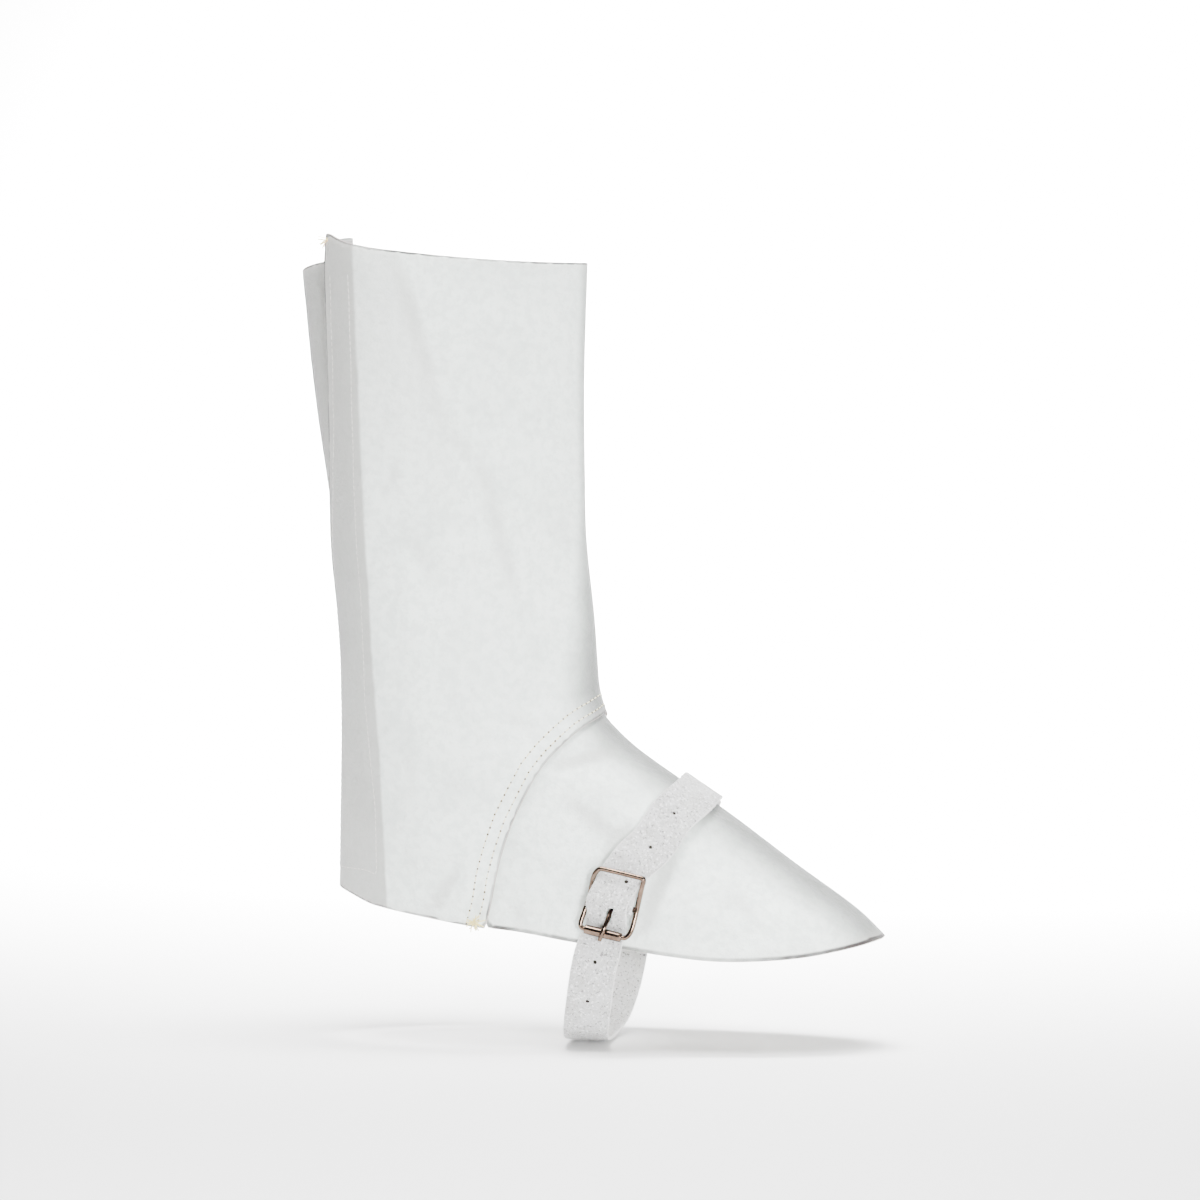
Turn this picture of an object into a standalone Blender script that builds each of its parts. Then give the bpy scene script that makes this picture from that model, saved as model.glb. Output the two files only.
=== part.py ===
"""One welder's gaiter of split leather, filled out as it is worn.

A leg panel wraps round the shin and laps over itself at the rear, a vamp covers the instep,
and a strap runs over the vamp and under the sole, where a buckle draws it tight.
X points to the toe, Y to the inner side of the leg and Z up. The origin is the ankle's centre.
Sizes are in millimetres and angles in degrees; MM turns them into metres when a mesh is made.
"""
import math
from collections import namedtuple

import bmesh
import bpy
from mathutils import Matrix, Vector

MM = 0.001

# Driving sizes
WALL = 1.5
GAP = 0.3
SEAM_LAP = 14.0
TAPE_WALL = 1.2
TAPE_INSET_ANGLE = 3.0
LAP_INSET_AHEAD = 4.0
LAP_INSET_RAMP = 38.0
LAP_TURN_ANGLE = 86.0
LAP_TURN_SHARE = 0.75
VAMP_LAP_GAP = 1.5 * GAP
VAMP_LAP_ROWS = 3.0
STRAP_WIDTH = 22.0
STRAP_WALL = 1.8
STRAP_LIFT = 1.4
STRAP_LAYER = STRAP_WALL + 0.5
WIRE = 1.2
PRONG = 1.0
ROLLER = 2.3

Section = namedtuple("Section", ("height", "rear", "front", "half_width", "rear_fullness"))
EdgePlace = namedtuple("EdgePlace", ("angle", "height"))
HeightPlace = namedtuple("HeightPlace", ("height", "angle"))
Fold = namedtuple("Fold", ("side", "x_start", "z_start", "x_end", "z_end", "spread", "depth"))
SlingPlace = namedtuple("SlingPlace", ("x", "y", "z", "turn"))
ArmPlace = namedtuple("ArmPlace", ("bar", "ahead", "beyond", "above"))
PinPlace = namedtuple("PinPlace", ("ahead", "above"))
Station = namedtuple("Station", ("distance", "lift", "shift"))

# Horizontal sections of the worn gaiter, from the top to below the hem
SECTIONS = [Section(*row) for row in (
    (240.0, -88.0, 60.5, 57.0, 0.42),
    (221.0, -86.3, 59.5, 56.5, 0.42),
    (166.0, -81.0, 58.0, 55.0, 0.42),
    (120.0, -75.5, 58.3, 53.0, 0.40),
    (87.0, -72.0, 59.0, 51.0, 0.36),
    (49.0, -67.5, 63.0, 48.5, 0.28),
    (21.0, -66.3, 65.0, 47.0, 0.20),
    (6.0, -66.2, 66.2, 46.5, 0.15),
    (0.0, -66.2, 69.2, 46.3, 0.12),
    (-4.0, -66.2, 73.0, 46.2, 0.10),
    (-12.5, -66.3, 80.4, 46.0, 0.07),
    (-20.0, -66.4, 87.7, 46.0, 0.05),
    (-31.7, -66.7, 104.5, 46.0, 0.02),
    (-48.5, -67.1, 129.5, 46.0, 0.0),
    (-75.0, -67.5, 165.4, 46.5, -0.02),
    (-96.0, -68.0, 194.8, 47.5, -0.04),
    (-109.4, -68.0, 208.7, 48.0, -0.05),
    (-132.0, -68.0, 230.0, 49.0, -0.05),
)]

# Edges of the cut pieces, as angle from the front fold round to the rear against height
OUTER_TOP = [EdgePlace(*row) for row in (
    (0.0, 224.8), (40.0, 223.0), (74.0, 223.2), (104.0, 226.5), (112.0, 228.3), (120.0, 231.0),
    (130.0, 236.0),
)]
INNER_TOP = [EdgePlace(*row) for row in (
    (0.0, 224.8), (60.0, 222.0), (120.0, 220.0), (180.0, 221.5), (250.0, 224.0),
)]
LEG_HEM = [EdgePlace(*row) for row in (
    (112.0, -104.5), (117.0, -101.8), (124.0, -100.5), (132.0, -98.9), (138.0, -96.6),
    (144.0, -95.8), (151.0, -93.4), (159.0, -90.4), (176.0, -88.5), (200.0, -88.0), (240.0, -89.0),
)]
SEAM = [EdgePlace(*row) for row in (
    (0.0, 0.5), (18.0, -2.2), (35.0, -6.2), (49.0, -12.8), (58.0, -18.5), (68.0, -25.2),
    (78.0, -34.4), (86.0, -44.3), (93.0, -54.3), (97.0, -62.4), (102.0, -73.0), (106.0, -84.5),
    (112.0, -104.5),
)]
VAMP_HEM = [EdgePlace(*row) for row in (
    (112.0, -104.5), (103.0, -106.5), (93.0, -110.3), (84.0, -113.0), (75.0, -116.3), (67.0, -118.3),
    (57.0, -118.0), (47.0, -116.7), (32.0, -113.2), (20.0, -110.8), (11.0, -109.6),
)]
SEAM_FOOT_ANGLE = 112.0
TOE_ANGLE = 11.0
RIDGE_TOP = 0.5
RIDGE_TOE = -109.0

# The near panel's cut edge at the rear, against height
REAR_EDGE = [HeightPlace(*row) for row in (
    (237.0, 130.0), (221.0, 133.0), (189.0, 135.0), (154.0, 138.5), (120.0, 145.5), (86.0, 156.0),
    (60.0, 167.0), (40.0, 174.0), (0.0, 178.0), (-90.0, 179.0),
)]
TAPE_FRONT = [HeightPlace(*row) for row in (
    (232.0, 116.0), (178.0, 117.0), (105.0, 122.0), (46.0, 126.0), (-23.0, 131.0), (-83.0, 139.0),
)]
TAPE_TOP = 232.5
TAPE_FOOT = -80.0
FOOT_HEIGHT = -90.0
TOP_HEIGHT = 230.0

# Soft troughs and ridges, as a line in side view with its half width and its depth;
# they fade towards the front fold and at their ends
FOLD_FADE = 12.0
FOLD_END_DEPTH = 0.6
NEAR, FAR = -1, 1
FOLDS = [Fold(*row) for row in (
    (NEAR, -21.0, 236.0, -10.0, 150.0, 9.0, -2.6),
    (NEAR, -46.0, 232.0, -40.0, 20.0, 9.0, 1.8),
    (NEAR, 22.0, 150.0, 34.0, 70.0, 10.0, -1.2),
    (NEAR, 50.0, 62.0, 54.0, 12.0, 6.0, 1.0),
    (NEAR, 38.0, -26.0, 72.0, -19.0, 4.5, -1.5),
    (NEAR, 56.0, -45.0, 84.0, -62.0, 5.0, -1.5),
    (NEAR, 50.0, -58.0, 70.0, -74.0, 4.5, -1.1),
    (NEAR, -11.0, -70.0, -9.0, -104.0, 5.0, -1.5),
    (NEAR, 4.0, -78.0, 3.0, -104.0, 4.0, 1.0),
    (NEAR, 118.0, -72.0, 150.0, -98.0, 8.0, -1.3),
    (NEAR, 165.0, -96.0, 182.0, -112.0, 6.0, 0.9),
    (FAR, -2.0, 230.0, -14.0, 140.0, 11.0, -2.2),
    (FAR, -52.0, 200.0, -44.0, 60.0, 9.0, 1.4),
    (FAR, 30.0, 120.0, 20.0, 40.0, 8.0, -1.4),
    (FAR, 36.0, -24.0, 70.0, -22.0, 5.0, -1.4),
    (FAR, 58.0, -48.0, 80.0, -66.0, 5.0, -1.2),
    (FAR, -30.0, -62.0, -27.0, -98.0, 5.0, -1.3),
    (FAR, 122.0, -74.0, 148.0, -96.0, 7.0, -1.1),
)]

# The strap's route on the near side: on the cloth down to the hem, then free under the sole
ROUTE = [EdgePlace(*row) for row in (
    (0.0, -39.3), (37.0, -47.6), (57.5, -62.8), (72.4, -76.5), (80.1, -90.0), (86.3, -104.7),
)]
SLING = [SlingPlace(*row) for row in (
    (72.2, -48.0, -119.0, 0.0),
    (68.9, -45.8, -137.5, 12.0),
    (65.3, -35.0, -152.5, 42.0),
    (62.8, -18.0, -158.8, 72.0),
    (62.0, 0.0, -160.5, 90.0),
)]
CLOTH_SAMPLES = 4
ROUTE_SAMPLES = 4
FRAME_REACH = 7.0
FREE_END_PAST_RIDGE = 6.0

# The strap round the buckle: its folded end, the rise over that end and over the bar, and its holes
FOLDED_END = 22.0
LAYER_REACH = 34.0
RISE_LENGTH = 10.0
BAR_RISE = 14.0
BEHIND_BAR = 4.0
FRONT_RISE = 0.5
PINCH = 1.0
PINCH_RAMP = 10.0
FREE_END_SHIFT = -2.6
SETTLE_START = 6.0
SETTLE_LENGTH = 20.0
END_STEPS = 4
TURN_STEPS = 8
RAISED_STEPS = 14
LAYER_STEPS = 26
PIN_CLEARANCE = 1.0
SLOT_LENGTH, SLOT_BEHIND, SLOT_BELOW = 6.0, 1.0, 1.0
HOLE_LENGTH, HOLE_AHEAD, HOLE_LIFT, HOLE_DEPTH = 7.0, 5.0, 4.5, 13.0

# The buckle's bars, and its arm from the front bar round to the keeper bar
BUCKLE_BAR_HEIGHT = -91.3
FRONT_BAR_AHEAD = 14.2
KEEPER_BEHIND = 15.2
ARM_CLEARANCE = 0.5
ARM = [ArmPlace(*row) for row in (
    ("front", 0.0, -1.6, 0.0),
    ("front", -1.2, 0.0, -0.1),
    ("front", -5.0, 0.7, -0.6),
    ("centre", 0.0, 0.3, 0.2),
    ("centre", -5.0, 0.3, 1.2),
    ("keeper", 4.0, 0.3, -1.2),
    ("keeper", 0.8, -0.4, -0.1),
    ("keeper", 0.0, -1.8, 0.0),
)]
ARM_SAMPLES = 3
BAR_OVERREACH = 0.3
BAR_SHRINK = 0.05
ROLLER_INSET = 1.9
ROLLER_BEVEL = 0.3
ROLLER_STEPS = 16

# The prong: its hook round the centre bar, its neck, and its rest over the roller
HOOK_TURNS = range(135, 361, 25)
PRONG_NECK = PinPlace(4.3, 2.0)
PRONG_REST = [PinPlace(*row) for row in ((-6.5, -1.6), (-3.0, -0.1), (0.5, 0.05), (3.4, -0.6))]
PRONG_SAMPLES = 2

# Grid counts
FRONT_COLUMNS = 15
AHEAD_COLUMNS = 2
FAR_COLUMNS = 10
LEG_ROWS = 21
VAMP_ROWS = 20
TAPE_COLUMNS = 5
TAPE_ROWS = 18
STRAP_STEP = 6.0
COLUMN_CROWDING = 0.55

LEATHER = (0.80, 0.81, 0.78)
STRAP_LEATHER = (0.70, 0.70, 0.68)
TAPE = (0.78, 0.79, 0.77)
NICKEL = (0.66, 0.64, 0.61)


def clear_scene():
    for old in list(bpy.data.objects):
        bpy.data.objects.remove(old, do_unlink=True)


def new_collection(name):
    collection = bpy.data.collections.new(name)
    bpy.context.scene.collection.children.link(collection)
    return collection


def material(name, colour, roughness, metallic=0.0):
    result = bpy.data.materials.new(name)
    result.use_nodes = True
    shader = result.node_tree.nodes["Principled BSDF"]
    shader.inputs["Base Color"].default_value = (*colour, 1.0)
    shader.inputs["Roughness"].default_value = roughness
    shader.inputs["Metallic"].default_value = metallic
    return result


# Curves through tables
def read_row(table, value):
    """The columns after the first, on a smooth curve through the table's rows."""
    rows = sorted(table)
    last = len(rows) - 2
    index = next((i for i in range(last) if value < rows[i + 1][0]), last)
    low, high = rows[index], rows[index + 1]
    step = high[0] - low[0]
    t = min(1.0, max(0.0, (value - low[0]) / step))

    def slope(i, column):
        before, after = rows[max(0, i - 1)], rows[min(len(rows) - 1, i + 1)]
        return (after[column] - before[column]) / (after[0] - before[0])

    result = []
    for column in range(1, len(low)):
        start = (2 * t**3 - 3 * t**2 + 1) * low[column] + (t**3 - 2 * t**2 + t) * step * slope(index, column)
        end = (3 * t**2 - 2 * t**3) * high[column] + (t**3 - t**2) * step * slope(index + 1, column)
        result.append(start + end)
    return result


def along_table(table, share):
    """The point at a share of the way along a table of angle and height, by length on the body."""
    lengths = [0.0]
    for before, after in zip(table, table[1:]):
        lengths.append(lengths[-1] + (body_point(*after) - body_point(*before)).length)
    goal = share * lengths[-1]
    numbered = [(length, angle, height) for length, (angle, height) in zip(lengths, table)]
    return tuple(read_row(numbered, goal))


def ease(value):
    t = min(1.0, max(0.0, value))
    return t * t * (3.0 - 2.0 * t)


def mix(low, high, share):
    return low + (high - low) * share


# The body that the cloth follows
def widest_share(fullness):
    """The largest width that the section formula reaches, so that half_width is exact."""
    if abs(fullness) < 1e-6:
        return 1.0
    cosine = (1.0 - math.sqrt(1.0 + 8.0 * fullness**2)) / (4.0 * fullness)
    return math.sqrt(1.0 - cosine**2) * (1.0 - fullness * cosine)


def body_point(angle, height):
    """A point of the smooth body: angle 0 is the front fold, and 90 the outer side of the leg."""
    rear, front, half_width, fullness = read_row(SECTIONS, height)
    turn = math.radians(angle)
    x = (rear + front) / 2 + (front - rear) / 2 * math.cos(turn)
    width = half_width / widest_share(fullness) * (1.0 - fullness * math.cos(turn))
    return Vector((x, -width * math.sin(turn), height))


def body_normal(angle, height):
    step = 0.5
    around = body_point(angle + step, height) - body_point(angle - step, height)
    upward = body_point(angle, height + step) - body_point(angle, height - step)
    return upward.cross(around).normalized()


def fold_relief(point):
    """How far the cloth's folds stand out of the body, or sink into it, at a point."""
    total = 0.0
    for side, x_start, z_start, x_end, z_end, spread, depth in FOLDS:
        if point.y * side <= 0.0:
            continue
        start, end = Vector((x_start, z_start)), Vector((x_end, z_end))
        line = end - start
        place = Vector((point.x, point.z)) - start
        share = place.dot(line) / line.length_squared
        outside = max(0.0, -share, share - 1.0) * line.length
        nearest = start + line * min(1.0, max(0.0, share))
        distance = (Vector((point.x, point.z)) - nearest).length
        bulge = math.sin(math.pi * min(1.0, max(0.0, share)))
        taper = min(1.0, abs(point.y) / FOLD_FADE) * mix(FOLD_END_DEPTH, 1.0, bulge)
        total += depth * taper * math.exp(-(distance / spread) ** 2 - (outside / spread) ** 2)
    return total


def cloth_point(angle, height, inset=0.0):
    """A point on the folded cloth, an inset below its outer face."""
    base = body_point(angle, height)
    return base + body_normal(angle, height) * (fold_relief(base) - inset)


# Meshes
def sheet(name, grid, wall, offset, finish, collection):
    """An open sheet through a grid of points, given its wall with Solidify."""
    shape = bmesh.new()
    rows = [[shape.verts.new(point * MM) for point in row] for row in grid]
    for lower, upper in zip(rows, rows[1:]):
        for left in range(len(lower) - 1):
            shape.faces.new((lower[left], lower[left + 1], upper[left + 1], upper[left]))
    mesh = bpy.data.meshes.new(name)
    shape.to_mesh(mesh)
    shape.free()
    mesh.shade_smooth()
    mesh.materials.append(finish)
    piece = bpy.data.objects.new(name, mesh)
    collection.objects.link(piece)
    solidify = piece.modifiers.new("wall", "SOLIDIFY")
    solidify.thickness = wall * MM
    solidify.offset = offset
    solidify.use_even_offset = True
    return piece


def wire(name, points, radius, closed, finish, collection):
    """A round wire through points, as a mesh with its caps welded."""
    curve = bpy.data.curves.new(name, "CURVE")
    curve.dimensions = "3D"
    curve.bevel_depth = radius * MM
    curve.bevel_resolution = 2
    curve.use_fill_caps = True
    spline = curve.splines.new("POLY")
    spline.points.add(len(points) - 1)
    for place, point in zip(spline.points, points):
        place.co = (*(point * MM), 1.0)
    spline.use_cyclic_u = closed
    guide = bpy.data.objects.new(name + "_curve", curve)
    collection.objects.link(guide)
    bpy.context.view_layer.update()
    evaluated = guide.evaluated_get(bpy.context.evaluated_depsgraph_get())
    mesh = bpy.data.meshes.new_from_object(evaluated)
    shape = bmesh.new()
    shape.from_mesh(mesh)
    bmesh.ops.remove_doubles(shape, verts=shape.verts, dist=1e-5)
    bmesh.ops.recalc_face_normals(shape, faces=shape.faces)
    shape.to_mesh(mesh)
    shape.free()
    mesh.name = name
    mesh.materials.clear()
    mesh.materials.append(finish)
    mesh.shade_smooth()
    piece = bpy.data.objects.new(name, mesh)
    piece.matrix_world = guide.matrix_world
    collection.objects.link(piece)
    bpy.data.objects.remove(guide, do_unlink=True)
    return piece


def smooth_path(points, samples, closed=False):
    """A smooth curve that passes through the points."""
    count = len(points)
    result = []
    for i in range(count if closed else count - 1):
        if closed:
            a, b, c, d = (points[(i + k) % count] for k in (-1, 0, 1, 2))
        else:
            a, b, c, d = (points[min(count - 1, max(0, i + k))] for k in (-1, 0, 1, 2))
        for k in range(samples):
            t = k / samples
            result.append(0.5 * (2 * b + (c - a) * t + (2 * a - 5 * b + 4 * c - d) * t**2
                                 + (3 * b - a - 3 * c + d) * t**3))
    if not closed:
        result.append(points[-1].copy())
    return result


def union(piece, other):
    join = piece.modifiers.new("union_" + other.name, "BOOLEAN")
    join.operation = "UNION"
    join.object = other


def cut(piece, cutter):
    slot = piece.modifiers.new("cut_" + cutter.name, "BOOLEAN")
    slot.operation = "DIFFERENCE"
    slot.object = cutter


def box_cutter(name, frame, size, collection):
    bpy.ops.mesh.primitive_cube_add(size=1.0)
    cutter = bpy.context.active_object
    cutter.name = name
    for owner in list(cutter.users_collection):
        owner.objects.unlink(cutter)
    collection.objects.link(cutter)
    cutter.data.transform(Matrix.Diagonal((*(edge * MM for edge in size), 1.0)))
    cutter.matrix_world = frame
    cutter.hide_render = True
    cutter.display_type = "WIRE"
    return cutter


# The leg panel and its closure
def rear_edge_angle(height):
    return read_row(REAR_EDGE, height)[0]


def tape_front_angle(height):
    return read_row(TAPE_FRONT, height)[0]


def lap_depth():
    """How deep the inner end lies under the outer one, with both closure tapes between them."""
    return WALL + 2 * TAPE_WALL + 3 * GAP


def front_angle(share):
    """Angles between the front fold and the seam's foot, closer together at both ends."""
    return SEAM_FOOT_ANGLE * (share - COLUMN_CROWDING * math.sin(2 * math.pi * share) / (2 * math.pi))


def leg_foot(angle):
    """The height of the leg panel's lower edge: the seam in front, the hem behind."""
    table = SEAM if angle < SEAM_FOOT_ANGLE else LEG_HEM
    return read_row(table, angle)[0]


def step_on_body(angle, height, direction, length):
    """Angle and height after a short step from a place on the body."""
    reach = 0.5
    around = (body_point(angle + reach, height) - body_point(angle - reach, height)) / (2 * reach)
    upward = (body_point(angle, height + reach) - body_point(angle, height - reach)) / (2 * reach)
    goal = direction.normalized() * length
    aa, au, uu = around.dot(around), around.dot(upward), upward.dot(upward)
    ga, gu = goal.dot(around), goal.dot(upward)
    spread = aa * uu - au * au
    return angle + (ga * uu - gu * au) / spread, height + (gu * aa - ga * au) / spread


def lap_corner(column):
    """Where a column of the leg panel crosses the vamp's hidden edge, a lap's width from the seam."""
    angle = front_angle(column / FRONT_COLUMNS)
    height = leg_foot(angle)
    reach = 1.0
    before, after = max(0.0, angle - reach), min(SEAM_FOOT_ANGLE, angle + reach)
    along = body_point(after, read_row(SEAM, after)[0]) - body_point(before, read_row(SEAM, before)[0])
    inward = along.cross(body_normal(angle, height)).normalized()
    turn_up = LAP_TURN_SHARE * ease((angle - LAP_TURN_ANGLE) / (SEAM_FOOT_ANGLE - LAP_TURN_ANGLE))
    direction = inward.lerp(Vector((0.0, 0.0, 1.0)), turn_up)
    corner_angle, corner_height = step_on_body(angle, height, direction, SEAM_LAP)
    return (0.0 if column == 0 else corner_angle), corner_height


def rear_angle(column, height, start_angle=SEAM_FOOT_ANGLE):
    """Angle of a column behind the seam's foot: to the tape, across the tape, then at the cut edge."""
    edge, front = rear_edge_angle(height), tape_front_angle(height)
    if column <= AHEAD_COLUMNS:
        return mix(start_angle, front, column / AHEAD_COLUMNS)
    across = (column - AHEAD_COLUMNS) / TAPE_COLUMNS
    return mix(front, edge - TAPE_INSET_ANGLE, across) if across <= 1.0 else edge


def seam_foot_line(row):
    """Angle of the column that starts at the seam's foot."""
    if row == 0:
        return SEAM_FOOT_ANGLE
    return mix(lap_corner(FRONT_COLUMNS)[0], SEAM_FOOT_ANGLE, (row - 1) / (LEG_ROWS - 1))


def front_place(column, row, top_table):
    """Angle and height on a column that starts at the seam."""
    angle = front_angle(column / FRONT_COLUMNS)
    if row == 0:
        return angle, leg_foot(angle)
    corner_angle, corner_height = lap_corner(column)
    share = (row - 1) / (LEG_ROWS - 1)
    return mix(corner_angle, angle, share), mix(corner_height, read_row(top_table, angle)[0], share)


def rear_place(angle_at, row, top_table):
    """Angle and height on a column that starts at the hem."""
    foot = leg_foot(angle_at(FOOT_HEIGHT, 0))
    if row == 0:
        return angle_at(foot, 0), foot
    top = read_row(top_table, angle_at(TOP_HEIGHT, LEG_ROWS))[0]
    height = mix(foot + SEAM_LAP, top, (row - 1) / (LEG_ROWS - 1))
    return angle_at(height, row), height


def far_point(place):
    """A point of the far side, which sinks under the near panel's cut edge at the rear."""
    angle, height = place
    past = angle - 360.0 + rear_edge_angle(height) + LAP_INSET_AHEAD
    return cloth_point(-angle, height, lap_depth() * ease(1.0 + past / LAP_INSET_RAMP))


def leg_row(row):
    """From the cut edge at the rear of the near side, round the front and the far side, to under itself."""
    def near_rear(column):
        return lambda height, at: rear_angle(column, height, seam_foot_line(at))

    def far_rear(share):
        return lambda height, at: mix(seam_foot_line(at), 360.0 - rear_edge_angle(height), share)

    def lapped(column):
        return lambda height, at: 360.0 - rear_angle(column, height)

    def inner_end(height, at):
        return lapped(AHEAD_COLUMNS)(height, at) + TAPE_INSET_ANGLE

    tape_end = AHEAD_COLUMNS + TAPE_COLUMNS
    points = [cloth_point(*rear_place(near_rear(i), row, OUTER_TOP)) for i in range(tape_end + 1, 0, -1)]
    points += [cloth_point(*front_place(i, row, OUTER_TOP)) for i in range(FRONT_COLUMNS, -1, -1)]
    points += [far_point(front_place(i, row, INNER_TOP)) for i in range(1, FRONT_COLUMNS + 1)]
    points += [far_point(rear_place(far_rear(i / FAR_COLUMNS), row, INNER_TOP))
               for i in range(1, FAR_COLUMNS + 1)]
    points += [far_point(rear_place(lapped(i), row, INNER_TOP))
               for i in range(tape_end, AHEAD_COLUMNS - 1, -1)]
    points.append(far_point(rear_place(inner_end, row, INNER_TOP)))
    return points


def leg_panel(finish, collection):
    grid = [leg_row(row) for row in range(LEG_ROWS + 1)]
    return sheet("leg_panel", grid, WALL, -1.0, finish, collection)


def closure_tape(name, rows, inset, finish, collection):
    """A straight tape inside the rear lap, as many rows high as given."""
    grid = []
    for row in range(rows + 1):
        height = mix(TAPE_FOOT, TAPE_TOP, row / TAPE_ROWS)
        columns = range(AHEAD_COLUMNS + TAPE_COLUMNS, AHEAD_COLUMNS - 1, -1)
        grid.append([cloth_point(rear_angle(i, height), height, inset) for i in columns])
    return sheet(name, grid, TAPE_WALL, -1.0, finish, collection)


# The vamp
def vamp_place(column, row):
    """Angle and height on the vamp: row 0 is the seam, and the columns run from the ridge to the hem."""
    row_share, across_share = row / VAMP_ROWS, column / FRONT_COLUMNS
    seam = front_place(column, 0, OUTER_TOP)
    hem = along_table(VAMP_HEM, row_share)
    toe = (TOE_ANGLE * across_share, mix(RIDGE_TOE, VAMP_HEM[-1][1], across_share))
    ridge = (0.0, mix(RIDGE_TOP, RIDGE_TOE, row_share))
    place = []
    for k in (0, 1):
        edges = mix(seam[k], toe[k], row_share) + mix(ridge[k], hem[k], across_share)
        seam_chord = mix(SEAM[0][k], SEAM[-1][k], across_share)
        toe_chord = mix((0.0, RIDGE_TOE)[k], VAMP_HEM[-1][k], across_share)
        place.append(edges - mix(seam_chord, toe_chord, row_share))
    return place


def vamp(finish, collection):
    """From its hidden edge under the leg panel to the toe, and from hem to hem over the ridge."""
    grid = []
    under = WALL + VAMP_LAP_GAP
    for row in range(-1, VAMP_ROWS + 1):
        line = []
        for column in range(-FRONT_COLUMNS, FRONT_COLUMNS + 1):
            side = 1.0 if column >= 0 else -1.0
            if row <= 0:
                angle, height = front_place(abs(column), -row, OUTER_TOP)
            else:
                angle, height = vamp_place(abs(column), row)
            inset = under * (1.0 - ease((row - 1.0) / VAMP_LAP_ROWS))
            line.append(cloth_point(side * angle, height, inset))
        grid.append(line)
    return sheet("vamp", grid, WALL, -1.0, finish, collection)


# The strap
class Route:
    """The closed loop that the strap follows: distance 0 is the ridge, and the near side comes first."""

    def __init__(self):
        mirrored = [(-angle, height) for angle, height in ROUTE[:0:-1]]
        on_cloth = smooth_path([Vector(row) for row in (*mirrored, *ROUTE)], CLOTH_SAMPLES)
        near_half = on_cloth[len(on_cloth) // 2:]
        places = [body_point(*row) for row in near_half]
        normals = [body_normal(*row) for row in near_half]
        for x, y, z, turn in SLING:
            places.append(Vector((x, y, z)))
            normals.append(Vector((0.0, -math.cos(math.radians(turn)), -math.sin(math.radians(turn)))))
        mirror = Vector((1.0, -1.0, 1.0))
        places += [place * mirror for place in places[-2:0:-1]]
        normals += [normal * mirror for normal in normals[-2:0:-1]]
        self.places = smooth_path(places, ROUTE_SAMPLES, closed=True)
        self.normals = smooth_path(normals, ROUTE_SAMPLES, closed=True)
        self.lengths = [0.0]
        for i, place in enumerate(self.places):
            self.lengths.append(self.lengths[-1] + (self.places[(i + 1) % len(self.places)] - place).length)
        self.length = self.lengths[-1]

    def distance_at(self, height):
        """The distance to a height on the near side."""
        index = next(i for i, place in enumerate(self.places) if place.z < height)
        above, below = self.places[index - 1], self.places[index]
        share = (above.z - height) / (above.z - below.z)
        return mix(self.lengths[index - 1], self.lengths[index], share)

    def read(self, values, distance):
        """A value between the samples, at a distance along the route."""
        distance %= self.length
        index = next(i for i in range(len(values)) if distance <= self.lengths[i + 1])
        share = (distance - self.lengths[index]) / (self.lengths[index + 1] - self.lengths[index])
        return values[index].lerp(values[(index + 1) % len(values)], share)

    def frame(self, distance):
        """Place, direction along, direction across and outward normal at a distance."""
        ahead, behind = distance + FRAME_REACH, distance - FRAME_REACH
        along = self.read(self.places, ahead) - self.read(self.places, behind)
        along.normalize()
        normal = self.read(self.normals, ahead) + self.read(self.normals, behind)
        normal = (normal - along * normal.dot(along)).normalized()
        return self.read(self.places, distance), along, normal.cross(along).normalized(), normal

    def point(self, distance, across, lift):
        place, along, sideways, normal = self.frame(distance)
        return place + sideways * across + normal * lift

    def matrix(self, distance, lift):
        place, along, sideways, normal = self.frame(distance)
        turn = Matrix((along, sideways, normal)).transposed().to_4x4()
        return Matrix.Translation((place + normal * lift) * MM) @ turn


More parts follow.
